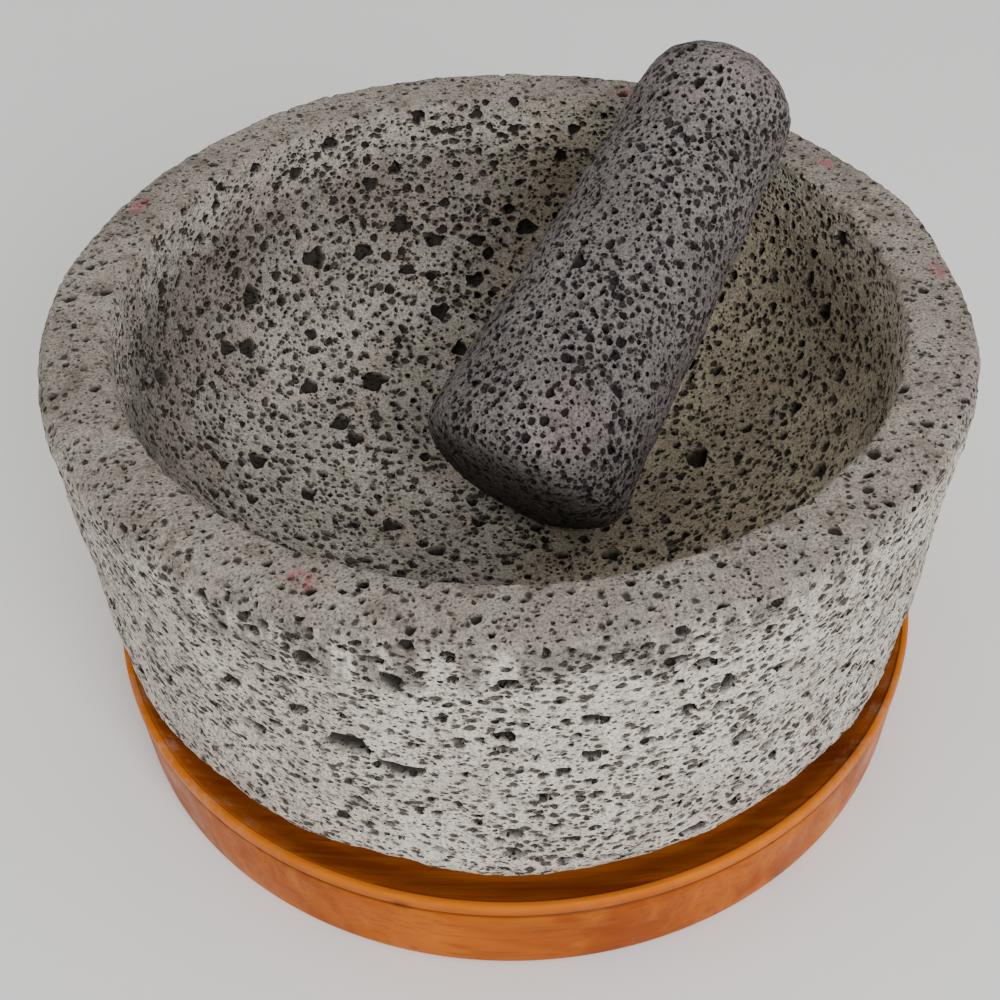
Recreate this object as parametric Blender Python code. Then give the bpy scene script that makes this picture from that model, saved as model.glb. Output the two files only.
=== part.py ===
"""Molcajete: a legless basalt mortar on a turned wooden base, with its basalt pestle leaning in the bowl.

Metres, +Z up. The origin is the centre of the base's flat underside, and the front is towards -Y.
"""
import math

import bmesh
import bpy
from mathutils import Vector

# ---- driving dimensions (metres) ----
BOWL_R = 0.1110             # outer radius at the rim
WALL_LOW_R = 0.1072         # outer radius where the wall meets the rounded lower edge
RIM_Z = 0.1180              # height of the rim above the table
BOWL_FOOT_R = 0.082         # flat underside that rests in the dish
LOWER_EDGE = 0.0155         # height of the bowl's rounded lower edge
BOWL_AXIS = (-0.0007, 0.0025)  # the bowl stands a little off the base's centre
RIM_INNER_R = 0.0941        # inner radius of the rim, so the wall is about 16 mm thick
CAVITY_FLOOR_Z = 0.0503     # lowest point of the grinding hollow
CAVITY_POWER = 2.35         # fullness of the hollow: 2 is an ellipse, more is squarer
RIM_ROUND = 0.0035          # width of the rim's rounded outer corner; it is twice as tall
RIM_INNER_ROUND = 0.0018    # width of the rim's worn inner corner
LOWER_EDGE_POWER = 0.9      # fullness of the rounded lower edge: 1 is an ellipse

BASE_LIP_Z = 0.0270         # top of the base's raised lip
BASE_LIP_OUTER_R = 0.1085
BASE_LIP_INNER_R = 0.1066   # the lip's flat top is narrow; from here the wood slopes down to the dish
BASE_FOOT_R = 0.1072        # the base's side leans in slightly towards the table
BASE_EDGE = 0.0015          # size of the base's small edge rounds
DISH_Z = 0.0235             # floor of the base's dish
DISH_R = 0.0990
SEAT_GAP = 0.0004           # air left between pieces that touch

PESTLE_LOW = (-0.0021, -0.0194, 0.0689)   # tip of the axis at the grinding end
PESTLE_HIGH = (0.0601, 0.0747, 0.1417)    # tip of the axis at the grip end
PESTLE_GRIND_R = 0.0291
PESTLE_GRIP_R = 0.0197
PESTLE_GRIND_ROUND = 0.0143  # length of the rounded grinding end
PESTLE_GRIP_ROUND = 0.0145   # length of the rounded grip end
PESTLE_GRIND_POWER = 2.4     # squareness of the rounded ends: 2 is an ellipse
PESTLE_GRIP_POWER = 2.2

BOWL_FACETS = 72
PESTLE_FACETS = 48

# ---- worked out from them ----
BOWL_FOOT_Z = DISH_Z + SEAT_GAP


def clear_scene():
    for thing in list(bpy.data.objects):
        bpy.data.objects.remove(thing, do_unlink=True)


def principled(name, colour, roughness):
    """A plain Principled BSDF material."""
    material = bpy.data.materials.new(name)
    material.use_nodes = True
    shader = material.node_tree.nodes["Principled BSDF"]
    shader.inputs["Base Color"].default_value = (*colour, 1.0)
    shader.inputs["Roughness"].default_value = roughness
    shader.inputs["Metallic"].default_value = 0.0
    return material


def turned(name, profile, facets, material):
    """Revolve a profile of (radius, height) points about Z.

    The profile starts and ends on the axis and runs with the material on its left-hand side, bottom outside first.
    """
    mesh = bmesh.new()
    low_pole = mesh.verts.new((0.0, 0.0, profile[0][1]))
    high_pole = mesh.verts.new((0.0, 0.0, profile[-1][1]))
    rings = []
    for radius, height in profile[1:-1]:
        ring = []
        for k in range(facets):
            turn = 2 * math.pi * k / facets
            ring.append(mesh.verts.new((radius * math.cos(turn), radius * math.sin(turn), height)))
        rings.append(ring)
    for k in range(facets):
        following = (k + 1) % facets
        mesh.faces.new((low_pole, rings[0][following], rings[0][k]))
        for lower, upper in zip(rings, rings[1:]):
            mesh.faces.new((lower[k], lower[following], upper[following], upper[k]))
        mesh.faces.new((rings[-1][k], rings[-1][following], high_pole))
    bmesh.ops.recalc_face_normals(mesh, faces=mesh.faces[:])
    data = bpy.data.meshes.new(name)
    mesh.to_mesh(data)
    mesh.free()
    data.shade_smooth()
    data.set_sharp_from_angle(angle=math.radians(35))
    data.materials.append(material)
    piece = bpy.data.objects.new(name, data)
    bpy.context.collection.objects.link(piece)
    return piece


def base_profile():
    """Flat foot, leaning side, narrow lip, step down into the shallow dish."""
    edge = BASE_EDGE
    return [
        (0.0, 0.0),
        (BASE_FOOT_R - edge, 0.0),
        (BASE_FOOT_R, edge),
        (BASE_LIP_OUTER_R, BASE_LIP_Z - edge),
        (BASE_LIP_OUTER_R - 0.5 * edge, BASE_LIP_Z),
        (BASE_LIP_INNER_R, BASE_LIP_Z),
        (BASE_LIP_INNER_R - 0.5 * edge, BASE_LIP_Z - 0.5 * edge),
        (DISH_R + edge, DISH_Z + 0.5 * edge),
        (DISH_R, DISH_Z),
        (0.0, DISH_Z),
    ]


def bowl_profile():
    """Flat foot, rounded lower edge, nearly upright wall, flat rim, and a hollow that is a quarter superellipse."""
    profile = [(0.0, BOWL_FOOT_Z), (BOWL_FOOT_R, BOWL_FOOT_Z)]
    steps = 6
    for k in range(1, steps + 1):
        turn = 0.5 * math.pi * k / steps
        radius = BOWL_FOOT_R + (WALL_LOW_R - BOWL_FOOT_R) * math.sin(turn) ** LOWER_EDGE_POWER
        profile.append((radius, BOWL_FOOT_Z + LOWER_EDGE * (1 - math.cos(turn))))
    profile.append((BOWL_R, RIM_Z - 2 * RIM_ROUND))
    for turn in (0.5 * math.pi / 3, math.pi / 3, 0.5 * math.pi):
        radius = BOWL_R - RIM_ROUND * (1 - math.cos(turn))
        profile.append((radius, RIM_Z - 2 * RIM_ROUND * (1 - math.sin(turn))))
    profile.append((RIM_INNER_R + RIM_INNER_ROUND, RIM_Z))
    steps = 14
    for k in range(1, steps):
        turn = 0.5 * math.pi * k / steps
        radius = RIM_INNER_R * math.cos(turn) ** (2 / CAVITY_POWER)
        depth = (RIM_Z - CAVITY_FLOOR_Z) * math.sin(turn) ** (2 / CAVITY_POWER)
        profile.append((radius, RIM_Z - depth))
    profile.append((0.0, CAVITY_FLOOR_Z))
    return profile


def pestle_profile(length):
    """A tapered bar, wide at the grinding end, both ends rounded over."""

    def radius_at(height):
        taper = PESTLE_GRIND_R + (PESTLE_GRIP_R - PESTLE_GRIND_R) * height / length
        low = max(0.0, 1 - height / PESTLE_GRIND_ROUND)
        high = max(0.0, 1 - (length - height) / PESTLE_GRIP_ROUND)
        return taper * math.sqrt(1 - low ** PESTLE_GRIND_POWER) * math.sqrt(1 - high ** PESTLE_GRIP_POWER)

    steps = 6
    heights = [PESTLE_GRIND_ROUND * (1 - math.cos(0.5 * math.pi * k / steps)) for k in range(1, steps + 1)]
    heights += [length * 0.4, length * 0.65]
    heights += [length - PESTLE_GRIP_ROUND * (1 - math.sin(0.5 * math.pi * k / steps)) for k in range(steps)]
    return [(0.0, 0.0)] + [(radius_at(height), height) for height in heights] + [(0.0, length)]


def build():
    clear_scene()
    wood = principled("stained_wood", (0.50, 0.15, 0.03), 0.35)
    stone = principled("basalt", (0.20, 0.19, 0.18), 0.9)
    dark_stone = principled("dark_basalt", (0.10, 0.095, 0.105), 0.85)

    turned("wooden_base", base_profile(), BOWL_FACETS, wood)

    bowl = turned("mortar_bowl", bowl_profile(), BOWL_FACETS, stone)
    bowl.location = (BOWL_AXIS[0], BOWL_AXIS[1], 0.0)

    low = Vector(PESTLE_LOW)
    lean = Vector(PESTLE_HIGH) - low
    pestle = turned("pestle", pestle_profile(lean.length), PESTLE_FACETS, dark_stone)
    pestle.rotation_mode = "QUATERNION"
    pestle.rotation_quaternion = Vector((0.0, 0.0, 1.0)).rotation_difference(lean)
    pestle.location = low


build()
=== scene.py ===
"""A legless basalt molcajete on its turned wooden base, with the pestle leaning in the bowl.

The stone is made as a real vesicular skin: thousands of gas pores are cut into a surface of revolution,
each one an open pit with its own rim, wall and floor. The wood is turned, with a raised lip, a scored line
and a dish.
"""

import math

import bpy
import numpy as np
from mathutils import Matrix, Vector
from mathutils.geometry import delaunay_2d_cdt
from mathutils.kdtree import KDTree


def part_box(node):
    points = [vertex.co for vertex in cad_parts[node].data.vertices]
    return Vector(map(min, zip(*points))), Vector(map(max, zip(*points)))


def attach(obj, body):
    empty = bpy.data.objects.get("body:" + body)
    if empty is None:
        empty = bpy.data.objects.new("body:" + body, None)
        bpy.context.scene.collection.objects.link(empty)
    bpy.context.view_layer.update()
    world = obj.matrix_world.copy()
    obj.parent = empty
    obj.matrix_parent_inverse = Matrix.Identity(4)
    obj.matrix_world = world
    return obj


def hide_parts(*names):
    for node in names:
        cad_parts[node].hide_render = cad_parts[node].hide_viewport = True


MM = 0.001
TAU = 2 * math.pi

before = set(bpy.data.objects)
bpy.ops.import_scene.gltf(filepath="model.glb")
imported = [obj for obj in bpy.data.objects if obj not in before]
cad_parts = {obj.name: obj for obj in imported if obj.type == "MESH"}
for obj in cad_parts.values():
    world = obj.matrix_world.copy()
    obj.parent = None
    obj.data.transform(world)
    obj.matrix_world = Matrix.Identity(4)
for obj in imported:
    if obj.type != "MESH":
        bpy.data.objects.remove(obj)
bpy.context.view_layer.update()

# ------------------------------------------------------------------ sizes, in metres, from the frame
BOWL_LOW, BOWL_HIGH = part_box("mortar_bowl")
BASE_LOW, BASE_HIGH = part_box("wooden_base")
BOWL_CENTRE = ((BOWL_LOW.x + BOWL_HIGH.x) / 2, (BOWL_LOW.y + BOWL_HIGH.y) / 2)
BOWL_R = (BOWL_HIGH.x - BOWL_LOW.x) / 2
RIM_Z = BOWL_HIGH.z
FOOT_Z = BOWL_LOW.z
FOOT_R = BOWL_R - 29 * MM
WALL_LOW_R = BOWL_R - 3.8 * MM  # where the wall meets the rounded lower edge
LOWER_EDGE = 15.5 * MM          # height of the rounded lower edge
LOWER_EDGE_POWER = 0.9          # fullness of that edge: 1 is an ellipse
HOLLOW_R = BOWL_R - 16.9 * MM   # inner radius at the rim
HOLLOW_DEPTH = 67.7 * MM
HOLLOW_POWER = 2.35             # 2 is an ellipse, more is squarer

LIP_R = (BASE_HIGH.x - BASE_LOW.x) / 2
LIP_Z = BASE_HIGH.z
LIP_WIDTH = 1.9 * MM
DISH_DEPTH = 3.5 * MM
BASE_EDGE = 1.6 * MM            # round between the base's foot and its side
LIP_ROUND = 0.9 * MM            # outer round of the lip
LIP_INNER_ROUND = 0.6 * MM
SCORE_Z = LIP_Z - 4.2 * MM      # height of the scored line
DISH_SLOPE = 7.6 * MM           # width of the slope from the lip down to the dish's floor

GRIND_R = 29.1 * MM             # the pestle's radius, at its wide and narrow ends
GRIP_R = 19.7 * MM
GRIND_ROUND = 14.3 * MM         # length of the rounded grinding end
GRIP_ROUND = 14.5 * MM          # length of the rounded grip end
GRIND_POWER = 2.4               # squareness of the rounded ends: 2 is an ellipse
GRIP_POWER = 2.2


# ------------------------------------------------------------------ surfaces of revolution
class Turned:
    """A surface of revolution given by a profile of (radius, height) points from pole to pole.

    The profile is resampled evenly by arc length s and softened, so its corners are worn. The chart radius
    is rho(s) = exp(integral of ds / r), which keeps angles true, so a plane triangulation of (rho, phi)
    stays good.
    """

    def __init__(self, points, soften, step=0.25 * MM):
        points = np.asarray(points, float)
        reach = np.concatenate([[0.0], np.cumsum(np.linalg.norm(np.diff(points, axis=0), axis=1))])
        count = int(reach[-1] / step)
        self.s = np.linspace(0.0, reach[-1], count)
        radius = np.interp(self.s, reach, points[:, 0])
        height = np.interp(self.s, reach, points[:, 1])
        half = int(3 * soften / step)
        weight = np.exp(-0.5 * (np.arange(-half, half + 1) * step / soften) ** 2)
        weight /= weight.sum()
        # a pole is a mirror: radius is odd across it and height is even
        radius = np.concatenate([-radius[half:0:-1], radius, -radius[-2:-half - 2:-1]])
        height = np.concatenate([height[half:0:-1], height, height[-2:-half - 2:-1]])
        self.r = np.convolve(radius, weight, "valid")
        self.z = np.convolve(height, weight, "valid")
        self.r[0] = self.r[-1] = 0.0
        self.length = reach[-1]
        self.step = self.s[1]
        slope_r = np.gradient(self.r, self.s)
        slope_z = np.gradient(self.z, self.s)
        size = np.hypot(slope_r, slope_z)
        self.slope_r, self.slope_z = slope_r / size, slope_z / size
        self.area = np.concatenate([[0.0], np.cumsum(0.5 * (self.r[1:] + self.r[:-1]) * self.step)])

    def chart_radius(self, join, from_far_pole):
        """rho along the profile from one pole to the join, scaled to 1 at the join; integrates 1/r - 1/s."""
        s, r = (self.length - self.s[::-1], self.r[::-1]) if from_far_pole else (self.s, self.r)
        inside = slice(1, int(join / self.step) + 3)
        s, r = s[inside], np.maximum(r[inside], 1e-9)
        excess = 1 / r - 1 / s
        extra = np.concatenate([[0.0], np.cumsum(0.5 * np.diff(s) * (excess[1:] + excess[:-1]))])
        rho = s * np.exp(extra)
        return np.concatenate([[0.0], s]), np.concatenate([[0.0], rho / np.interp(join, s, rho)])

    def at(self, s):
        """Radius, height and the two parts of the outward normal at arc length s."""
        radius = np.interp(s, self.s, self.r)
        height = np.interp(s, self.s, self.z)
        return radius, height, -np.interp(s, self.s, self.slope_z), np.interp(s, self.s, self.slope_r)

    def place(self, s, phi, depth=0.0):
        """Points at (s, phi), sunk by depth along the inward normal."""
        radius, height, normal_r, normal_z = self.at(s)
        flat = radius - depth * normal_r
        return np.stack([flat * np.cos(phi), flat * np.sin(phi), height - depth * normal_z], axis=1)


def waves(points, rng, count, longest, shortest):
    """A smooth random field of unit size: a sum of plane waves with random directions and phases."""
    lengths = np.exp(rng.uniform(math.log(shortest), math.log(longest), count))
    heading = rng.normal(size=(count, 3))
    heading *= (TAU / lengths / np.linalg.norm(heading, axis=1))[:, None]
    phase = rng.uniform(0, TAU, count)
    return np.sin(points @ heading.T + phase).sum(axis=1) / math.sqrt(0.5 * count)


# ------------------------------------------------------------------ pores
PIT_GAP = 0.25 * MM             # stone left between two pits
PIT_CLEAR = 1.12                # two pits are clear of each other from this value of their ellipse formula
# rings between a pit's rim and its floor, for pits with 0, 1 or 2 of them: each is a share of the rim's size
# and a share of the depth
RING_FORMS = ((), ((0.82, 0.62),), ((0.97, 0.42), (0.66, 0.86)))


class Pores:
    """Open pits on a Turned surface.

    Each row holds place (s, phi), half width round, half height along, depth, corners and inner rings.
    """

    def __init__(self, surface, rng):
        self.surface = surface
        self.rng = rng
        self.rows = []
        self.points = []

    def scatter(self, count, small, large, share, stretch, depth, corners, rings):
        """Throws count pits of radius small to large, keeping those clear of every pit already there.

        share(s) is the wanted density from 0 to 1, stretch(s) how much wider than tall the pits are. Two pits
        are clear when (across / sum of half widths)^2 + (down / sum of half heights)^2 is at least PIT_CLEAR.
        """
        surface, rng = self.surface, self.rng
        weight = np.gradient(surface.area) * share(surface.s)
        total = np.cumsum(weight)
        s = np.interp(rng.uniform(0, total[-1], count), total, surface.s)
        phi = rng.uniform(-math.pi, math.pi, count)
        size = small * (large / small) ** (rng.uniform(0, 1, count) ** 1.5)
        shape = stretch(s) * np.exp(rng.normal(0, 0.16, count))
        wide, tall = size * np.sqrt(shape), size / np.sqrt(shape)
        deep = size * depth * rng.uniform(0.6, 1.35, count)
        place = surface.place(s, phi)
        tree = KDTree(len(self.points))
        for i, point in enumerate(self.points):
            tree.insert(point, i)
        tree.balance()
        fresh = KDTree(count)
        for i in range(count):
            fresh.insert(place[i], i)
        fresh.balance()
        reach = max([large * 1.6] + [max(row[2], row[3]) for row in self.rows])
        dropped = np.zeros(count, bool)
        _, _, normal_r, normal_z = surface.at(s)
        round_way = np.stack([-np.sin(phi), np.cos(phi), np.zeros(count)], axis=1)
        along_way = np.stack([normal_z * np.cos(phi), normal_z * np.sin(phi), -normal_r], axis=1)
        rows = np.array(self.rows) if self.rows else np.zeros((0, 7))
        for i in range(count):
            if dropped[i]:
                continue
            span = max(wide[i], tall[i]) + PIT_GAP
            for found, j, _ in tree.find_range(place[i], span + reach):
                away = found - Vector(place[i])
                across = away.dot(Vector(round_way[i])) / (wide[i] + rows[j, 2] + PIT_GAP)
                down = away.dot(Vector(along_way[i])) / (tall[i] + rows[j, 3] + PIT_GAP)
                if across * across + down * down < PIT_CLEAR:
                    dropped[i] = True
                    break
            if dropped[i]:
                continue
            for found, j, _ in fresh.find_range(place[i], span + large * 1.6):
                if j <= i or dropped[j]:
                    continue
                away = found - Vector(place[i])
                across = away.dot(Vector(round_way[i])) / (wide[i] + wide[j] + PIT_GAP)
                down = away.dot(Vector(along_way[i])) / (tall[i] + tall[j] + PIT_GAP)
                if across * across + down * down < PIT_CLEAR:
                    dropped[j] = True
        for i in np.flatnonzero(~dropped):
            self.rows.append((s[i], phi[i], wide[i], tall[i], deep[i], corners, rings))
            self.points.append(tuple(place[i]))

    def carve(self, pits):
        """Adds single large cavities: rows of s, phi, half width round, half height, depth."""
        corners, rings = 18, 2
        for s, phi, wide, tall, deep in pits:
            self.rows.append((s, phi, wide, tall, deep, corners, rings))
            self.points.append(tuple(self.surface.place(np.array([s]), np.array([phi]))[0]))

    def table(self):
        """All the rows as one array."""
        return np.array(self.rows)


def pocked_mesh(surface, pores, join, skin_step, roughen, rng, edge_rows=()):
    """A closed mesh of a Turned surface with its pits cut in.

    Two plane charts, one round each pole, meet in one ring of shared vertices at s = join, and pits near
    that ring are left out. In each chart the pits' rims and some filler points are triangulated together;
    the triangles whose three corners are on one rim are taken out, and that hole is closed by rings sunk into
    the stone and a point at the bottom. roughen(points, s, phi) gives the skin's height, and edge_rows are
    extra rows (low, high, step) in s.
    """
    table = pores.table()
    table = table[np.abs(table[:, 0] - join) > 1.4 * table[:, 3] + 0.6 * MM]
    count = len(table)
    # rims: an ellipse with a random low-order wobble and uneven corner spacing
    across_parts, down_parts, pit_parts = [], [], []
    for corners in sorted(set(table[:, 5])):
        rows = np.flatnonzero(table[:, 5] == corners)
        corners = int(corners)
        turn = (np.arange(corners)[None, :] + rng.uniform(-0.28, 0.28, (len(rows), corners))) * TAU / corners
        turn += rng.uniform(0, TAU, (len(rows), 1))
        uneven = 0.10 if corners < 11 else 0.17
        wobble = 1 + uneven * np.sin(3 * turn + rng.uniform(0, TAU, (len(rows), 1)))
        wobble += uneven * 0.8 * np.sin(5 * turn + rng.uniform(0, TAU, (len(rows), 1))) * (corners > 8)
        wobble += rng.uniform(-0.10, 0.10, turn.shape)
        lean = rng.normal(0, 0.16, (len(rows), 1))
        across = table[rows, 2][:, None] * np.cos(turn) * wobble
        down = table[rows, 3][:, None] * np.sin(turn) * wobble + lean * across * 0.5
        across_parts.append(across.ravel())
        down_parts.append(down.ravel())
        pit_parts.append(np.repeat(rows, corners))
    across = np.concatenate(across_parts)
    down = np.concatenate(down_parts)
    rim_pit = np.concatenate(pit_parts)

    # fillers: staggered rows, kept clear of the pits
    rows = [np.arange(skin_step, surface.length - skin_step, skin_step)]
    rows += [np.arange(low, high, step) for low, high, step in edge_rows]
    filler_s, filler_phi = [], []
    for k, level in enumerate(np.concatenate(rows)):
        around = max(6, int(TAU * np.interp(level, surface.s, surface.r) / skin_step))
        filler_phi.append((np.arange(around) + 0.5 * (k % 2)) * TAU / around)
        filler_s.append(np.full(around, level))
    filler_s, filler_phi = np.concatenate(filler_s), np.concatenate(filler_phi)
    filler_s = filler_s + rng.uniform(-0.3, 0.3, len(filler_s)) * skin_step * 0.5
    filler_phi = np.mod(filler_phi + rng.uniform(-0.3, 0.3, len(filler_s)) * 0.01 + math.pi, TAU) - math.pi
    tree = KDTree(len(filler_s))
    for i, point in enumerate(surface.place(filler_s, filler_phi)):
        tree.insert(point, i)
    tree.balance()
    clear = np.ones(len(filler_s), bool)
    for point, size in zip(surface.place(table[:, 0], table[:, 1]), np.maximum(table[:, 2], table[:, 3])):
        clear[[i for _, i, _ in tree.find_range(point, size + 0.35 * MM)]] = False
    filler_s, filler_phi = filler_s[clear], filler_phi[clear]

    join_r = np.interp(join, surface.s, surface.r)
    join_count = int(TAU * join_r / (0.45 * skin_step))
    join_phi = np.arange(join_count) * TAU / join_count - math.pi

    vertices_s, vertices_phi, vertices_pit = [], [], []
    faces, removed = [], []
    offset = join_count
    for far in (False, True):
        reach = surface.length - join if far else join
        chart_s, rho = surface.chart_radius(reach, far)

        def to_chart(s, phi):
            radius = np.interp(surface.length - s if far else s, chart_s, rho)
            return np.stack([radius * np.cos(phi), radius * np.sin(phi)], axis=1)

        pit_s, pit_phi = table[rim_pit, 0], table[rim_pit, 1]
        here = (pit_s > join) if far else (pit_s < join)
        centre = to_chart(pit_s[here], pit_phi[here])
        side = -1 if far else 1
        centre_radius = np.linalg.norm(centre, axis=1)
        spread = centre_radius / np.maximum(np.interp(pit_s[here], surface.s, surface.r), 1e-6)
        outward = centre / np.maximum(centre_radius, 1e-12)[:, None] * side
        sideways = np.stack([-outward[:, 1], outward[:, 0]], axis=1) * side
        rim = centre + spread[:, None] * (across[here][:, None] * sideways + down[here][:, None] * outward)
        inside = (filler_s > join + skin_step * 0.4) if far else (filler_s < join - skin_step * 0.4)
        filler = to_chart(filler_s[inside], filler_phi[inside])
        ring = np.stack([np.cos(join_phi), np.sin(join_phi)], axis=1)
        chart = np.concatenate([ring, rim, filler])
        pit = np.concatenate([np.full(join_count, -1), rim_pit[here], np.full(len(filler), -1)])
        _, _, triangles, origin, _, _ = delaunay_2d_cdt([Vector(p) for p in chart], [], [], 0, 1e-7, True)
        first = np.array([o[0] for o in origin])
        triangles = first[np.array(triangles)]
        a, b, c = (chart[triangles[:, k]] for k in range(3))
        turned = (b[:, 0] - a[:, 0]) * (c[:, 1] - a[:, 1]) - (b[:, 1] - a[:, 1]) * (c[:, 0] - a[:, 0])
        flip = (turned < 0) != far
        triangles[flip] = triangles[flip][:, ::-1]
        pits = pit[triangles]
        hole = (pits[:, 0] >= 0) & (pits[:, 0] == pits[:, 1]) & (pits[:, 1] == pits[:, 2])
        radius = np.linalg.norm(chart[join_count:], axis=1)
        s = np.interp(radius, rho, chart_s)
        vertices_s.append(surface.length - s if far else s)
        vertices_phi.append(np.arctan2(chart[join_count:, 1], chart[join_count:, 0]))
        vertices_pit.append(pit[join_count:])
        numbers = np.concatenate([np.arange(join_count), np.arange(len(chart) - join_count) + offset])
        faces.append(numbers[triangles[~hole]])
        removed.append(numbers[triangles[hole]])
        offset += len(chart) - join_count
    s = np.concatenate([np.full(join_count, join)] + vertices_s)
    phi = np.concatenate([join_phi] + vertices_phi)
    pit = np.concatenate([np.full(join_count, -1)] + vertices_pit)
    faces, removed = np.concatenate(faces), np.concatenate(removed)
    skin_count = len(s)

    # the holes' edges, in the order of the triangles that were taken out
    edges = np.concatenate([removed[:, [0, 1]], removed[:, [1, 2]], removed[:, [2, 0]]])
    key = edges[:, 0] * skin_count + edges[:, 1]
    edges = edges[~np.isin(key, edges[:, 1] * skin_count + edges[:, 0])]

    skin = surface.place(s, phi)
    normal = surface.place(s, phi, -1.0) - skin
    skin += normal * roughen(skin, s, phi)[:, None]
    centre_skin = np.zeros((count, 3))
    share = np.bincount(pit[pit >= 0], minlength=count)
    for axis in range(3):
        centre_skin[:, axis] = np.bincount(pit[pit >= 0], weights=skin[pit >= 0, axis], minlength=count)
    centre_skin /= np.maximum(share, 1)[:, None]
    inward = surface.place(table[:, 0], table[:, 1], 1.0) - surface.place(table[:, 0], table[:, 1])

    # painted shade in each pit: light on its rim, more on each sunk ring, full at its bottom
    # every pit's bottom slides a little sideways, never along the inward normal
    points, pit_shade = [skin], [np.where(pit >= 0, 0.22, 0.0)]
    bottom = np.arange(count) + skin_count
    slide = rng.normal(0, 0.16, (count, 3)) * table[:, 2][:, None]
    sunk_by = inward * table[:, 4][:, None]
    points.append(centre_skin + sunk_by + slide - inward * (slide * inward).sum(1)[:, None])
    pit_shade.append(np.ones(count))
    total = skin_count + count
    # the rim vertex that each vertex hangs from
    source = np.concatenate([np.arange(skin_count), np.full(count, -1)])
    for rings, forms in enumerate(RING_FORMS):
        mine = table[pit[edges[:, 0]], 6] == rings
        loop = edges[mine]
        for scale, sunk in forms:
            used, place = np.unique(loop, return_inverse=True)
            rim_vertex = source[used]
            of_pit = pit[rim_vertex]
            jitter = 1 + rng.uniform(-0.09, 0.09, len(used))
            toward = (skin[rim_vertex] - centre_skin[of_pit]) * (scale * jitter)[:, None]
            down_by = inward[of_pit] * (table[of_pit, 4] * sunk)[:, None]
            points.append(centre_skin[of_pit] + toward + down_by)
            pit_shade.append(np.full(len(used), 0.35 + 0.6 * sunk))
            source = np.concatenate([source, rim_vertex])
            low = place.reshape(-1, 2) + total
            faces = np.concatenate([faces, np.stack([loop[:, 0], loop[:, 1], low[:, 1]], 1)])
            faces = np.concatenate([faces, np.stack([loop[:, 0], low[:, 1], low[:, 0]], 1)])
            loop = low
            total += len(used)
        bottoms = bottom[pit[edges[mine][:, 0]]]
        faces = np.concatenate([faces, np.stack([loop[:, 0], loop[:, 1], bottoms], 1)])
    points, pit_shade = np.concatenate(points), np.concatenate(pit_shade)

    # drop what no face uses, and write the mesh
    used = np.unique(faces)
    renumber = np.full(len(points), -1)
    renumber[used] = np.arange(len(used))
    faces, points, pit_shade = renumber[faces], points[used], pit_shade[used]
    return faces, points, pit_shade


SHARP_ANGLE = math.radians(42)  # edges that turn by more than this stay crisp


def make_piece(name, points, faces, body, node, material, attributes):
    """Puts vertex and triangle arrays into a new object that rides on a body and replaces a CAD node."""
    mesh = bpy.data.meshes.new(name)
    mesh.vertices.add(len(points))
    mesh.vertices.foreach_set("co", np.asarray(points, np.float32).ravel())
    corners = faces.shape[1]
    mesh.loops.add(faces.size)
    mesh.loops.foreach_set("vertex_index", faces.astype(np.int32).ravel())
    mesh.polygons.add(len(faces))
    mesh.polygons.foreach_set("loop_start", np.arange(len(faces), dtype=np.int32) * corners)
    mesh.update(calc_edges=True)
    mesh.validate()
    for label, values in attributes:
        layer = mesh.attributes.new(label, "FLOAT", "POINT")
        layer.data.foreach_set("value", np.asarray(values, np.float32))
    mesh.shade_smooth()
    mesh.set_sharp_from_angle(angle=SHARP_ANGLE)
    mesh.materials.append(material)
    piece = bpy.data.objects.new(name, mesh)
    bpy.context.scene.collection.objects.link(piece)
    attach(piece, body)
    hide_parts(node)
    print(name, len(mesh.vertices), "vertices", len(mesh.polygons), "faces")
    return piece


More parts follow.
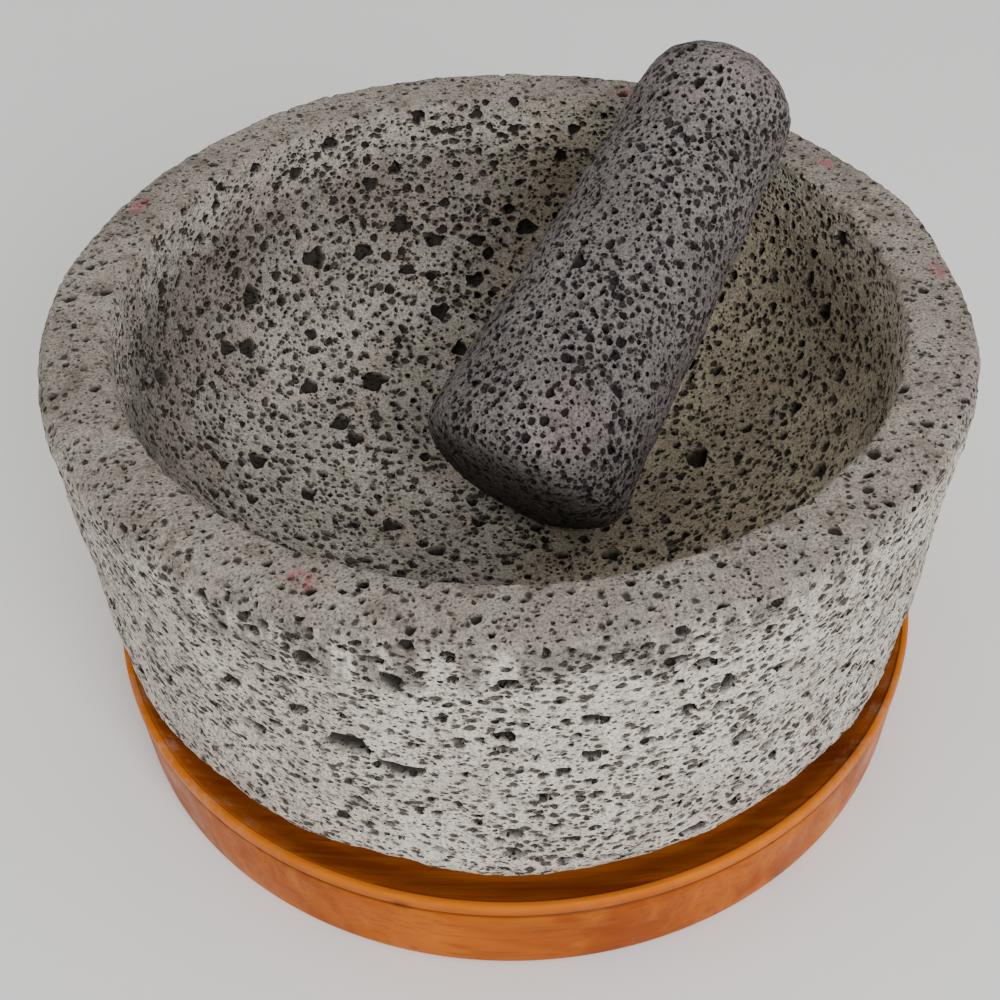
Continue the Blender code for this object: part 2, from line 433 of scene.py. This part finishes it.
# ------------------------------------------------------------------ material helpers
class Nodes:
    """A small wrapper for building a material's node tree."""

    def __init__(self, name, roughness):
        self.material = bpy.data.materials.new(name)
        self.material.use_nodes = True
        self.tree = self.material.node_tree
        self.shader = self.tree.nodes["Principled BSDF"]
        self.shader.inputs["Roughness"].default_value = roughness
        self.place = self.add("ShaderNodeTexCoord").outputs["Object"]

    def add(self, kind, **settings):
        node = self.tree.nodes.new(kind)
        for key, value in settings.items():
            setattr(node, key, value)
        return node

    def link(self, source, target):
        if isinstance(source, (int, float, tuple)):
            target.default_value = source
        else:
            self.tree.links.new(source, target)

    def noise(self, scale, detail=3.0, roughness=0.5, vector=None, distortion=0.0):
        node = self.add("ShaderNodeTexNoise")
        self.link(vector or self.place, node.inputs["Vector"])
        node.inputs["Scale"].default_value = scale
        node.inputs["Detail"].default_value = detail
        node.inputs["Roughness"].default_value = roughness
        node.inputs["Distortion"].default_value = distortion
        return node.outputs["Fac"]

    def cells(self, scale, vector=None):
        """The distance to the nearest of many scattered points."""
        node = self.add("ShaderNodeTexVoronoi", feature="F1")
        self.link(vector or self.place, node.inputs["Vector"])
        node.inputs["Scale"].default_value = scale
        return node.outputs["Distance"]

    def math(self, operation, a, b=0.0, c=0.0):
        node = self.add("ShaderNodeMath", operation=operation)
        self.link(a, node.inputs[0])
        self.link(b, node.inputs[1])
        self.link(c, node.inputs[2])
        return node.outputs[0]

    def span(self, value, low, high, new_low=0.0, new_high=1.0):
        """The value taken smoothly from the range low to high into the range new_low to new_high."""
        node = self.add("ShaderNodeMapRange", interpolation_type="SMOOTHSTEP")
        self.link(value, node.inputs["Value"])
        limits = {"From Min": low, "From Max": high, "To Min": new_low, "To Max": new_high}
        for key, number in limits.items():
            node.inputs[key].default_value = number
        return node.outputs["Result"]

    def mix(self, factor, a, b, blend="MIX"):
        node = self.add("ShaderNodeMix", data_type="RGBA", blend_type=blend)
        self.link(factor, node.inputs["Factor"])
        for value, socket in ((a, node.inputs["A"]), (b, node.inputs["B"])):
            self.link((*value, 1.0) if isinstance(value, tuple) else value, socket)
        return node.outputs["Result"]

    def tint(self, factor, colour, by):
        """The colour multiplied by a tint, to the share that factor gives."""
        return self.mix(factor, colour, self.mix(1.0, colour, by, "MULTIPLY"))

    def attribute(self, name):
        return self.add("ShaderNodeAttribute", attribute_name=name).outputs["Fac"]

    def stretch(self, scale):
        """Object coordinates multiplied by a scale for each axis."""
        node = self.add("ShaderNodeMapping")
        self.link(self.place, node.inputs["Vector"])
        node.inputs["Scale"].default_value = scale
        return node.outputs["Vector"]

    def wander(self, scale, amount, squash=1.0):
        """Object coordinates pushed about by noise, then stretched in Z: place + amount * noise."""
        noise = self.add("ShaderNodeTexNoise")
        self.link(self.place, noise.inputs["Vector"])
        noise.inputs["Scale"].default_value = scale
        noise.inputs["Detail"].default_value = 2.0
        push = self.add("ShaderNodeVectorMath", operation="MULTIPLY_ADD")
        self.link(noise.outputs["Color"], push.inputs[0])
        self.link((amount, amount, amount), push.inputs[1])
        self.link(self.place, push.inputs[2])
        pull = self.add("ShaderNodeVectorMath", operation="MULTIPLY")
        self.link(push.outputs[0], pull.inputs[0])
        self.link((1.0, 1.0, squash), pull.inputs[1])
        return pull.outputs[0]

    def bump(self, height, strength, distance, normal=None):
        node = self.add("ShaderNodeBump")
        node.inputs["Strength"].default_value = strength
        node.inputs["Distance"].default_value = distance
        self.link(height, node.inputs["Height"])
        if normal:
            self.link(normal, node.inputs["Normal"])
        return node.outputs["Normal"]

    def finish(self, colour, normal=None, roughness=None):
        self.link(colour, self.shader.inputs["Base Color"])
        if normal:
            self.link(normal, self.shader.inputs["Normal"])
        if roughness:
            self.link(roughness, self.shader.inputs["Roughness"])
        return self.material


# the pit colours are painted shade in the pits
BOWL_DRESSED = (0.61, 0.562, 0.490)
BOWL_WORN = (0.196, 0.172, 0.148)
BOWL_PIT_SHADE = (0.034, 0.029, 0.024)
PESTLE_DRESSED = (0.196, 0.174, 0.172)
# the pestle's worn colour is painted shade on its grinding end
PESTLE_END_SHADE = (0.060, 0.050, 0.045)
PESTLE_PIT_SHADE = (0.022, 0.018, 0.018)


def basalt(name, dressed, worn, pit, squash=1.0, coarse=300):
    """Vesicular basalt: dressed colour outside, worn colour where the bowl is handled or ground, painted shade
    on the pestle's grinding end and in the pits, painted light in the hollow, grain.

    Between the modelled pits lie two sizes of shallower hole, each a warped cell whose radius follows a
    noise, darkened by painted shade, and tiny specks of painted shade.
    """
    n = Nodes(name, 0.92)
    n.shader.inputs["Specular IOR Level"].default_value = 0.2
    blotch = n.noise(55, 3, 0.6)
    grain = n.noise(1500, 4, 0.75)
    # worn colour on the bowl's rim and upper hollow, and painted shade on the pestle's grinding end; the
    # hollow's lighter bottom, back and right are painted light
    colour = n.mix(n.attribute("wear_and_painted_light"), dressed, worn)
    # a warmer tone with painted light on the hollow's right side
    colour = n.tint(n.attribute("warm_and_painted_light"), colour, (1.20, 1.16, 0.99))
    colour = n.tint(n.attribute("pale"), colour, (1.75, 1.65, 1.60))
    colour = n.tint(n.span(blotch, 0.3, 0.7), colour, (0.76, 0.74, 0.73))
    chisel = n.attribute("chisel")
    chisel = n.math("MULTIPLY", chisel, n.span(n.noise(95, 3, 0.6, n.stretch((1.5, 1.5, 0.2))), 0.44, 0.54))
    colour = n.tint(chisel, colour, (0.46, 0.45, 0.45))
    colour = n.mix(n.span(grain, 0.35, 0.70), n.mix(1.0, colour, (0.62, 0.62, 0.62), "MULTIPLY"),
                   n.mix(1.0, colour, (1.38, 1.38, 1.38), "MULTIPLY"))
    porous = n.attribute("porous")
    bruise = n.span(n.noise(125, 3, 0.6), 0.54, 0.64)
    bruise = n.math("MULTIPLY", bruise, n.math("MULTIPLY_ADD", porous, -2.3, 2.3))
    colour = n.tint(bruise, colour, (0.62, 0.60, 0.58))
    ragged = n.wander(420, 1.5 * MM, squash)
    large = n.math("MULTIPLY", n.noise(90, 3, 0.6), porous)
    large = n.math("MULTIPLY_ADD", large, -0.62, n.cells(coarse, ragged))
    small = n.math("MULTIPLY", n.noise(130, 2, 0.6), porous)
    small = n.math("MULTIPLY_ADD", small, -0.55, n.cells(1.9 * coarse, ragged))
    # tiny dark specks: painted shade standing for micro-pores
    tiny = n.math("MAXIMUM", n.span(n.cells(1150), 0.20, 0.36), n.span(n.noise(420, 2, 0.5), 0.50, 0.60))
    # the shader-only holes have bump but no depth, so painted shade darkens them
    hole_shade = n.math("MULTIPLY", n.span(large, -0.13, 0.07), n.span(small, -0.12, 0.08))
    colour = n.mix(tiny, n.mix(1.0, colour, (0.55, 0.54, 0.53), "MULTIPLY"), colour)
    colour = n.mix(hole_shade, n.mix(0.45, n.mix(1.0, colour, (0.26, 0.24, 0.22), "MULTIPLY"), pit), colour)
    waxy = n.math("MULTIPLY", n.attribute("crayon"), n.span(n.noise(700, 2, 0.6), 0.38, 0.55))
    colour = n.mix(n.math("MULTIPLY", waxy, 0.8), colour, (0.36, 0.10, 0.11))
    # painted shade in the modelled pits, darkest at their bottoms
    colour = n.mix(n.span(n.attribute("pit_shade"), 0.12, 0.75), colour, pit)
    normal = n.bump(n.noise(320, 3, 0.6), 0.75, 1.1 * MM)
    normal = n.bump(grain, 0.5, 0.3 * MM, normal)
    normal = n.bump(tiny, 0.7, 0.3 * MM, normal)
    normal = n.bump(n.span(large, -0.22, 0.10), 1.0, 1.2 * MM, normal)
    normal = n.bump(n.span(small, -0.20, 0.10), 1.0, 0.7 * MM, normal)
    return n.finish(colour, normal)


def stained_wood():
    """Orange-stained board under thin varnish: long grain along X, dark fibres, a dark knot and scored line,
    painted shade on the dish, a painted sheen on the lit lip and dust.
    """
    n = Nodes("stained_wood", 0.34)
    n.shader.inputs["Coat Weight"].default_value = 0.02
    n.shader.inputs["Specular IOR Level"].default_value = 0.04
    n.shader.inputs["Coat Roughness"].default_value = 0.22
    figure = n.noise(11, 4, 0.55, n.stretch((0.8, 6.0, 3.2)), 0.6)
    streak = n.noise(60, 3, 0.6, n.stretch((0.35, 6.0, 1.2)))
    fibre = n.noise(420, 2, 0.6, n.stretch((0.06, 2.2, 2.2)))
    colour = n.mix(n.span(figure, 0.30, 0.72), (0.22, 0.040, 0.003), (0.44, 0.105, 0.005))
    colour = n.mix(n.span(streak, 0.42, 0.75, 0.0, 0.55), colour, (0.50, 0.155, 0.012))
    colour = n.mix(n.span(fibre, 0.52, 0.70, 0.0, 0.45), colour, (0.17, 0.035, 0.006))
    # darker scored line and knot, and painted shade on the dish under the bowl
    colour = n.mix(n.attribute("stain_and_painted_shade"), colour, (0.085, 0.016, 0.004))
    colour = n.mix(n.attribute("sheen"), colour, (0.62, 0.17, 0.010))
    dust = n.math("MULTIPLY", n.attribute("dust"), n.span(n.noise(150, 4, 0.7), 0.42, 0.72))
    colour = n.mix(dust, colour, (0.52, 0.40, 0.30))
    normal = n.bump(fibre, 0.25, 0.15 * MM)
    normal = n.bump(streak, 0.15, 0.4 * MM, normal)
    rough = n.span(n.noise(90, 3, 0.6), 0.3, 0.7, 0.28, 0.46)
    return n.finish(colour, normal, n.math("ADD", rough, n.math("MULTIPLY", dust, 0.4)))


# ------------------------------------------------------------------ the bowl
def bowl_profile():
    """Hollow (a quarter superellipse), flat rim, upright wall, rounded lower edge, flat foot."""
    turn = np.linspace(0.5 * math.pi, 0.0, 120)
    hollow = np.stack([HOLLOW_R * np.cos(turn) ** (2 / HOLLOW_POWER),
                       RIM_Z - HOLLOW_DEPTH * np.sin(turn) ** (2 / HOLLOW_POWER)], axis=1)
    turn = np.linspace(0.5 * math.pi, 0.0, 40)
    lower = np.stack([FOOT_R + (WALL_LOW_R - FOOT_R) * np.sin(turn) ** LOWER_EDGE_POWER,
                      FOOT_Z + LOWER_EDGE * (1 - np.cos(turn))], axis=1)
    rim = [(HOLLOW_R + 0.6 * MM, RIM_Z), (BOWL_R - 1.3 * MM, RIM_Z), (BOWL_R, RIM_Z - 3.5 * MM)]
    return np.concatenate([hollow[:-1], rim, lower, [(0.0, FOOT_Z)]])


def smooth_step(value, low, high):
    """0 below low, 1 above high and 3 t^2 - 2 t^3 between them."""
    t = np.clip((value - low) / (high - low), 0, 1)
    return t * t * (3 - 2 * t)


# large cavities: angle round the bowl in degrees, height above the table in mm (on the wall) or distance
# from the axis in mm (in the hollow), half width and half height in mm
WALL_CAVITIES = (
    (-107, 80, 6.2, 3.4), (-101.5, 74.5, 5.6, 2.4), (-110, 107, 2.8, 2.2), (-101, 105, 2.5, 3),
    (-119, 75, 3.9, 2), (-121, 88, 2.5, 1.9), (-80, 92, 3.5, 1.9), (-80, 80, 2.9, 1.8),
    (-62, 71, 2.9, 2.6), (-66, 41, 5.4, 2.2), (-65, 93, 2.4, 3.1), (-89, 106, 3.1, 1.9),
    (150, 70, 4.8, 2.6), (95, 86, 4.1, 2.4), (40, 62, 4.6, 2.5), (5, 90, 3.6, 2.3),
)
HOLLOW_CAVITIES = (
    (132, 86, 3.7, 2.9), (113, 86.5, 3, 2.5), (107, 83, 2.8, 1.8), (122, 84, 3.2, 2.2),
    (114, 78.5, 2.5, 1.6), (148, 86, 3.2, 3), (156, 80, 3.1, 2.5), (136, 56, 4, 3.3),
    (152, 65, 2.9, 2.3), (178, 89, 3.1, 2.8), (-179, 67, 3, 2.6), (156, 53, 3.1, 2.3),
    (88, 84, 3.1, 2.3), (98, 82, 2.7, 1.7), (10, 51, 3.9, 3.1), (20, 89, 2.9, 2.6),
)
HOLLOW_CAVITY_DEPTH = 1.25      # depth for each half height
WALL_CAVITY_DEPTH = 1.35
# crayon marks on the rim: angle round the bowl in radians, distance from the axis and size in mm
CRAYON_MARKS = ((-1.96, 101.5, 1.9), (2.75, 105, 1.8), (1.25, 103, 1.8), (0.62, 104, 1.6), (0.1, 106, 1.7))


def large_cavities(surface, rim_in, rim_out):
    """Turns the two lists into (s, phi, half width, half height, depth) rows, reading s off the profile."""
    hollow, wall = surface.s < rim_in, surface.s > rim_out
    rows = []
    for angle, radius, wide, tall in HOLLOW_CAVITIES:
        s = np.interp(radius * MM, surface.r[hollow], surface.s[hollow])
        rows.append((s, math.radians(angle), wide * MM, tall * MM, HOLLOW_CAVITY_DEPTH * tall * MM))
    for angle, height, wide, tall in WALL_CAVITIES:
        s = np.interp(-height * MM, -surface.z[wall], surface.s[wall])
        rows.append((s, math.radians(angle), wide * MM, tall * MM, WALL_CAVITY_DEPTH * tall * MM))
    return rows


def make_bowl(material):
    """The bowl's skin with its pits, and the shares of worn colour with painted light, porosity, chisel and
    crayon marks on it.
    """
    rng = np.random.default_rng(7)
    surface = Turned(bowl_profile(), 0.55 * MM)
    s = surface.s
    rim_in = s[np.argmax((surface.r > HOLLOW_R) & (surface.z > RIM_Z - 2.5 * MM))]
    rim_out = s[np.argmax((surface.r > BOWL_R - 1.2 * MM) & (surface.slope_z < -0.7))]
    wall_end = s[np.argmax((s > rim_out) & (surface.z < FOOT_Z + 6 * MM))]

    def share(hollow, rim, wall, foot):
        """A density of pits with one value for each part of the profile, blended where the parts meet."""
        def density(at):
            value = np.full(len(at), float(hollow))
            value += (rim - hollow) * smooth_step(at, rim_in - 2 * MM, rim_in + 1 * MM)
            value += (wall - rim) * smooth_step(at, rim_out - 2 * MM, rim_out + 3 * MM)
            return value + (foot - wall) * smooth_step(at, wall_end, wall_end + 12 * MM)
        return density

    def stretch(at):
        """Pits are a little wider than tall, and more so on the wall."""
        return 1.05 + 0.38 * smooth_step(at, rim_out, rim_out + 6 * MM)

    pores = Pores(surface, rng)
    scatter = pores.scatter
    pores.carve(large_cavities(surface, rim_in, rim_out))
    scatter(150, 1.9 * MM, 2.9 * MM, share(0.9, 0.1, 0.8, 0.0), stretch, 1.5, 11, 2)
    scatter(1500, 1.2 * MM, 1.9 * MM, share(0.8, 0.3, 1.0, 0.02), stretch, 1.5, 8, 1)
    scatter(5200, 0.85 * MM, 1.2 * MM, share(0.9, 0.55, 1.0, 0.02), stretch, 1.7, 6, 0)
    scatter(9000, 0.60 * MM, 0.85 * MM, share(1.0, 0.6, 0.85, 0.0), stretch, 1.8, 5, 0)

    shape_rng = np.random.default_rng(21)

    def roughen(points, at, phi):
        """Hand-cut unevenness: swells on the wall and rim, grain, a worn front-left edge, notches below."""
        on_wall = 1 - smooth_step(at, wall_end, wall_end + 10 * MM)
        outside = smooth_step(at, rim_in, rim_out + 8 * MM) * on_wall
        swell = 0.55 * MM * waves(points, shape_rng, 14, 90 * MM, 26 * MM)
        fine = 0.13 * MM * waves(points, shape_rng, 40, 9 * MM, 3 * MM)
        worn = np.exp(-((at - rim_out + 1 * MM) / (3.5 * MM)) ** 2)
        front_left = 0.5 + 0.5 * np.cos(phi + 2.1)
        notch = np.clip(waves(points, shape_rng, 30, 30 * MM, 9 * MM) - 0.5, 0, 1.4)
        notch *= np.exp(-((at - wall_end) / (5 * MM)) ** 2)
        on_foot = smooth_step(at, wall_end + 8 * MM, wall_end + 16 * MM)
        uneven = outside * swell - 0.1 * swell + fine - worn * 1.5 * front_left ** 2 * MM - 1.9 * MM * notch
        return uneven * (1 - on_foot)

    faces, points, pit_shade = pocked_mesh(
        surface, pores, wall_end + 10 * MM, 3.0 * MM, roughen, rng,
        [(rim_in - 2 * MM, rim_in + 3 * MM, 1.2 * MM), (rim_out - 4 * MM, rim_out + 3 * MM, 1.2 * MM)])
    radius = np.hypot(points[:, 0], points[:, 1])
    height = points[:, 2]
    turn = np.arctan2(points[:, 1], points[:, 0])
    drop = RIM_Z - height
    # worn on the rim and in the hollow; painted light makes the hollow lighter towards the bottom, the back
    # and the right
    wear_and_painted_light = smooth_step(-drop, -7 * MM, -1 * MM) * 0.72
    inside = smooth_step(HOLLOW_R + 1 * MM - radius, 0, 3 * MM) * (height > FOOT_Z + 10 * MM)
    deeper = 0.62 * smooth_step(drop, 22 * MM, 60 * MM)
    behind = 0.16 * smooth_step(points[:, 1], 20 * MM, 70 * MM)
    right = 0.20 * smooth_step(points[:, 0], 25 * MM, 75 * MM)
    hollow_wear_and_painted_light = 1 - deeper - behind * (1 - deeper) - right * (1 - deeper)
    wear_and_painted_light = np.maximum(wear_and_painted_light * (1 - inside), inside * hollow_wear_and_painted_light)
    # a warmer tone with painted light on the hollow's right side
    warm_and_painted_light = inside * smooth_step(points[:, 0], -12 * MM, 22 * MM)
    rim = (1 - inside) * smooth_step(-drop, -5 * MM, -1 * MM)
    porous = 1 - 0.33 * rim
    # chisel marks hang from the rim to an uneven depth, and they are strongest at the front
    reach = 7 * MM + 6 * MM * (0.5 + 0.5 * np.sin(9 * turn + 2 * np.sin(5 * turn)))
    chisel = (1 - inside) * smooth_step(drop, 1.5 * MM, 4 * MM)
    chisel *= 1 - smooth_step(drop, reach, reach + 5 * MM)
    chisel *= 0.25 + 0.75 * smooth_step(np.cos(turn + 1.55), 0.70, 0.90)
    crayon = np.zeros(len(points))
    for angle, at_radius, size in CRAYON_MARKS:
        turned_by = np.mod(turn - angle + math.pi, TAU) - math.pi
        gap = np.hypot(radius - at_radius * MM, turned_by * radius * 0.5)
        mark = 1 - smooth_step(gap, 0.5 * size * MM, 1.5 * size * MM)
        crayon = np.maximum(crayon, mark * (height > RIM_Z - 3 * MM))
    points[:, 0] += BOWL_CENTRE[0]
    points[:, 1] += BOWL_CENTRE[1]
    return make_piece("mortar_bowl_stone", points, faces, "bowl", "mortar_bowl", material,
                      (("pit_shade", pit_shade), ("wear_and_painted_light", wear_and_painted_light), ("crayon", crayon), ("warm_and_painted_light", warm_and_painted_light),
                       ("porous", porous), ("chisel", chisel)))


# ------------------------------------------------------------------ the pestle
def pestle_axis():
    """The CAD pestle's low end, its upward axis (its vertices' longest principal direction) and its length."""
    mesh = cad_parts["pestle"].data
    places = np.empty(len(mesh.vertices) * 3, np.float32)
    mesh.vertices.foreach_get("co", places)
    places = places.reshape(-1, 3).astype(float)
    middle = places.mean(axis=0)
    _, _, ways = np.linalg.svd(places - middle, full_matrices=False)
    way = ways[0] if ways[0][2] > 0 else -ways[0]
    along = (places - middle) @ way
    return middle + way * along.min(), way, along.max() - along.min()


def make_pestle(material):
    """The pestle's skin with its pits, turned round the CAD pestle's axis."""
    rng = np.random.default_rng(11)
    low, way, length = pestle_axis()
    height = length * (1 - np.cos(np.linspace(0, math.pi, 200))) / 2
    taper = GRIND_R + (GRIP_R - GRIND_R) * height / length
    low_round = np.maximum(0, 1 - height / GRIND_ROUND)
    high_round = np.maximum(0, 1 - (length - height) / GRIP_ROUND)
    radius = taper * np.sqrt(np.maximum(0, 1 - low_round ** GRIND_POWER))
    radius *= np.sqrt(np.maximum(0, 1 - high_round ** GRIP_POWER))
    # from the grip end down, so that the profile runs with the stone on its inner side
    surface = Turned(np.stack([radius, height], axis=1)[::-1], 1.2 * MM)

    def even(at):
        """The same value, 1, all along the profile."""
        return np.ones(len(at))

    pores = Pores(surface, rng)
    scatter = pores.scatter
    scatter(16, 1.5 * MM, 2.3 * MM, even, even, 1.4, 12, 2)
    scatter(420, 0.95 * MM, 1.5 * MM, even, even, 1.5, 9, 1)
    scatter(2000, 0.66 * MM, 0.95 * MM, even, even, 1.7, 7, 1)
    scatter(7000, 0.42 * MM, 0.66 * MM, even, even, 1.8, 5, 0)
    shape_rng = np.random.default_rng(5)

    def roughen(points, at, phi):
        """Slight swells and grain, over a skin that lies a little under the turned profile."""
        swell = 0.25 * MM * waves(points, shape_rng, 12, 60 * MM, 20 * MM)
        fine = 0.10 * MM * waves(points, shape_rng, 30, 7 * MM, 2.5 * MM)
        return swell + fine - 0.3 * MM

    join = surface.length - 12 * MM
    faces, points, pit_shade = pocked_mesh(surface, pores, join, 2.2 * MM, roughen, rng)
    # painted shade, darker towards the grinding end
    wear_and_painted_light = 1 - smooth_step(points[:, 2], 3 * MM, 11 * MM)
    side = np.cross(way, (0.0, 0.0, 1.0))
    side /= np.linalg.norm(side)
    points = low + points[:, :1] * np.cross(side, way) + points[:, 1:2] * side * -1 + points[:, 2:3] * way
    # pale patches, facing up and to the front: place on the axis, direction to the skin, distance to it, size
    # in mm
    spots = (
        (low + 21 * MM * way, (0.15, -0.72, 0.68), GRIND_R, 10.0),
        (low + (length - 9 * MM) * way, (0.2, -0.3, 0.9), GRIP_R, 11.0),
    )
    pale = np.zeros(len(points))
    for centre, toward, reach, width in spots:
        toward = np.array(toward) - np.dot(toward, way) * way
        spot = centre + toward / np.linalg.norm(toward) * reach
        gap = np.linalg.norm(points - spot, axis=1)
        pale = np.maximum(pale, np.exp(-(gap / (width * MM)) ** 2) * 0.45)
    porous = 1 - pale
    # the three directions above make a left-handed frame, so the faces are turned over to point outward
    faces = faces[:, ::-1]
    return make_piece("pestle_stone", points, faces, "grinder", "pestle", material,
                      (("pit_shade", pit_shade), ("wear_and_painted_light", wear_and_painted_light), ("pale", pale), ("porous", porous)))


# ------------------------------------------------------------------ the wooden base
def make_base(material):
    """The base's profile turned about Z on a plain grid, very slightly oval, and closed at both poles."""
    foot_r = LIP_R - 1.3 * MM

    def side_r(height):
        return foot_r + (LIP_R - foot_r) * height / LIP_Z

    corner = np.linspace(0, 0.5 * math.pi, 7)
    profile = [(0.0, 0.0), (foot_r * 0.5, 0.0)]
    profile += [(foot_r - BASE_EDGE + BASE_EDGE * math.sin(a), BASE_EDGE - BASE_EDGE * math.cos(a))
                for a in corner]
    profile += [(side_r(z), z) for z in np.linspace(3 * MM, SCORE_Z - 1.0 * MM, 6)]
    # the scored line: a narrow groove, with the side standing a little proud above it
    score_r = side_r(SCORE_Z)
    profile += [
        (score_r - 0.15 * MM, SCORE_Z - 0.45 * MM), (score_r - 0.75 * MM, SCORE_Z),
        (score_r - 0.1 * MM, SCORE_Z + 0.45 * MM), (score_r + 0.2 * MM, SCORE_Z + 1.0 * MM),
    ]
    profile += [(LIP_R - LIP_ROUND + LIP_ROUND * math.cos(a), LIP_Z - LIP_ROUND + LIP_ROUND * math.sin(a))
                for a in corner]
    inner = LIP_R - LIP_WIDTH
    low_lip_z = LIP_Z - LIP_INNER_ROUND
    profile += [
        (inner + LIP_INNER_ROUND - LIP_INNER_ROUND * math.sin(a), low_lip_z + LIP_INNER_ROUND * math.cos(a))
        for a in corner]
    slope = np.linspace(0, 1, 9)[1:]
    profile += [(inner - DISH_SLOPE * t, low_lip_z - (DISH_DEPTH - LIP_INNER_ROUND) * t) for t in slope]
    floor_z = LIP_Z - DISH_DEPTH
    profile += [(r, floor_z) for r in np.linspace(inner - 10 * MM, 10 * MM, 14)]
    profile += [(0.0, floor_z)]
    profile = np.array(profile)
    around = 360
    turn = np.arange(around) * TAU / around
    rings = profile[1:-1]
    radius = rings[:, 0][:, None] * (1 + 0.0012 * np.sin(2 * turn + 0.6))[None, :]
    height = np.repeat(rings[:, 1][:, None], around, 1)
    grid = np.stack([radius * np.cos(turn), radius * np.sin(turn), height], axis=2)
    points = np.concatenate([grid.reshape(-1, 3), [(0, 0, profile[0, 1])], [(0, 0, profile[-1, 1])]])
    row = np.arange(len(rings) - 1)[:, None] * around
    here = np.arange(around)[None, :]
    after = (here + 1) % around
    low_left, low_right = (row + here).ravel(), (row + after).ravel()
    high_left, high_right = (row + around + here).ravel(), (row + around + after).ravel()
    faces = np.concatenate([np.stack([low_left, low_right, high_right], 1),
                            np.stack([low_left, high_right, high_left], 1)])
    here, after = here.ravel(), after.ravel()
    low_pole, high_pole = len(points) - 2, len(points) - 1
    last = (len(rings) - 1) * around
    faces = np.concatenate([faces, np.stack([np.full(around, low_pole), after, here], 1),
                            np.stack([last + here, last + after, np.full(around, high_pole)], 1)])
    # darker at the scored line and the knot, painted shade on the dish and its edge under the bowl, and a
    # painted sheen above the line
    distance = np.hypot(points[:, 0], points[:, 1])
    groove = np.exp(-((points[:, 2] - SCORE_Z) / (0.55 * MM)) ** 2) * (distance > inner)
    # painted shadow of the overhanging bowl on the dish next to the lip
    step = np.exp(-((distance - inner + 4 * MM) / (3.5 * MM)) ** 2)
    step = step * (points[:, 2] > floor_z - 0.1 * MM) * 0.5
    angle = np.arctan2(points[:, 1], points[:, 0])
    knot_across = (angle + 1.81) * distance / (2.2 * MM)
    knot_down = (points[:, 2] - SCORE_Z - 1.2 * MM) / (1.6 * MM)
    knot = np.exp(-knot_across ** 2 - knot_down ** 2)
    stain_and_painted_shade = np.clip(0.8 * groove + step + 1.3 * knot * (distance > inner), 0, 1)
    # painted shade over the whole dish, under the bowl
    dish = (distance < inner) * (points[:, 2] > floor_z - 0.1 * MM)
    stain_and_painted_shade = np.maximum(stain_and_painted_shade, dish * 0.28)
    sheen = smooth_step(points[:, 2], SCORE_Z + 0.6 * MM, SCORE_Z + 2.0 * MM)
    sheen = sheen * (distance > inner) * 0.55 * (1 - knot)
    dust = np.clip(np.exp(-((angle + 2.5) / 0.28) ** 2) + 0.8 * np.exp(-((angle + 0.55) / 0.22) ** 2), 0, 1)
    dust = 0.4 * dust * smooth_step(points[:, 2], 8 * MM, LIP_Z) * (distance > inner - 2 * MM)
    return make_piece("wooden_base_turned", points, faces, "base", "wooden_base", material,
                      (("stain_and_painted_shade", stain_and_painted_shade), ("sheen", sheen), ("dust", dust)))


# ------------------------------------------------------------------ floor, lights and camera
def make_stage():
    """A pale floor, a soft sky, a large soft key from the front right above, a weak fill from the left."""
    size = 20.0
    floor = bpy.data.meshes.new("floor")
    corners = [(-size, -size, 0), (size, -size, 0), (size, size, 0), (-size, size, 0)]
    floor.from_pydata(corners, [], [(0, 1, 2, 3)])
    pale = Nodes("pale_floor", 0.9)
    floor.materials.append(pale.finish((0.86, 0.86, 0.86, 1.0)))
    ground = bpy.data.objects.new("floor", floor)
    ground.location.z = -0.2 * MM
    bpy.context.scene.collection.objects.link(ground)

    world = bpy.data.worlds.new("sky")
    bpy.context.scene.world = world
    world.use_nodes = True
    sky = world.node_tree.nodes["Background"]
    sky.inputs["Color"].default_value = (1.0, 0.985, 0.965, 1.0)
    sky.inputs["Strength"].default_value = 0.80

    def lamp(name, place, target, power, width):
        """A square area lamp at a place, turned to face the target."""
        light = bpy.data.lights.new(name, "AREA")
        light.energy = power
        light.size = width
        holder = bpy.data.objects.new(name, light)
        holder.location = place
        holder.rotation_euler = (Vector(target) - Vector(place)).to_track_quat("-Z", "Y").to_euler()
        bpy.context.scene.collection.objects.link(holder)

    lamp("key", (0.50, -1.06, 0.80), (0, 0, 0.06), 15.5, 0.6)
    lamp("fill", (-0.9, -0.3, 0.9), (0, 0, 0.06), 1.0, 0.9)


CAMERA_DISTANCE = 402.6 * MM
CAMERA_TILT = math.radians(43.1)
CAMERA_AIM = (BOWL_CENTRE[0] + 9.2 * MM, BOWL_CENTRE[1], RIM_Z - 61.0 * MM)
CAMERA_LENS = 54.0
CAMERA_SENSOR = 36.0
CAMERA_SHIFT = (-0.047, -0.020)


def make_camera():
    """The rest view's camera, in front of the bowl and above it, looking at CAMERA_AIM."""
    camera = bpy.data.cameras.new("camera")
    camera.lens = CAMERA_LENS
    camera.sensor_width = CAMERA_SENSOR
    camera.shift_x, camera.shift_y = CAMERA_SHIFT
    holder = bpy.data.objects.new("camera", camera)
    aim = Vector(CAMERA_AIM)
    holder.location = aim + CAMERA_DISTANCE * Vector((0, -math.cos(CAMERA_TILT), math.sin(CAMERA_TILT)))
    holder.rotation_euler = (aim - holder.location).to_track_quat("-Z", "Y").to_euler()
    bpy.context.scene.collection.objects.link(holder)
    bpy.context.scene.camera = holder


make_stage()
make_camera()
make_base(stained_wood())
make_bowl(basalt("basalt", BOWL_DRESSED, BOWL_WORN, BOWL_PIT_SHADE, squash=1.45))
make_pestle(basalt("dark_basalt", PESTLE_DRESSED, PESTLE_END_SHADE, PESTLE_PIT_SHADE, coarse=380))
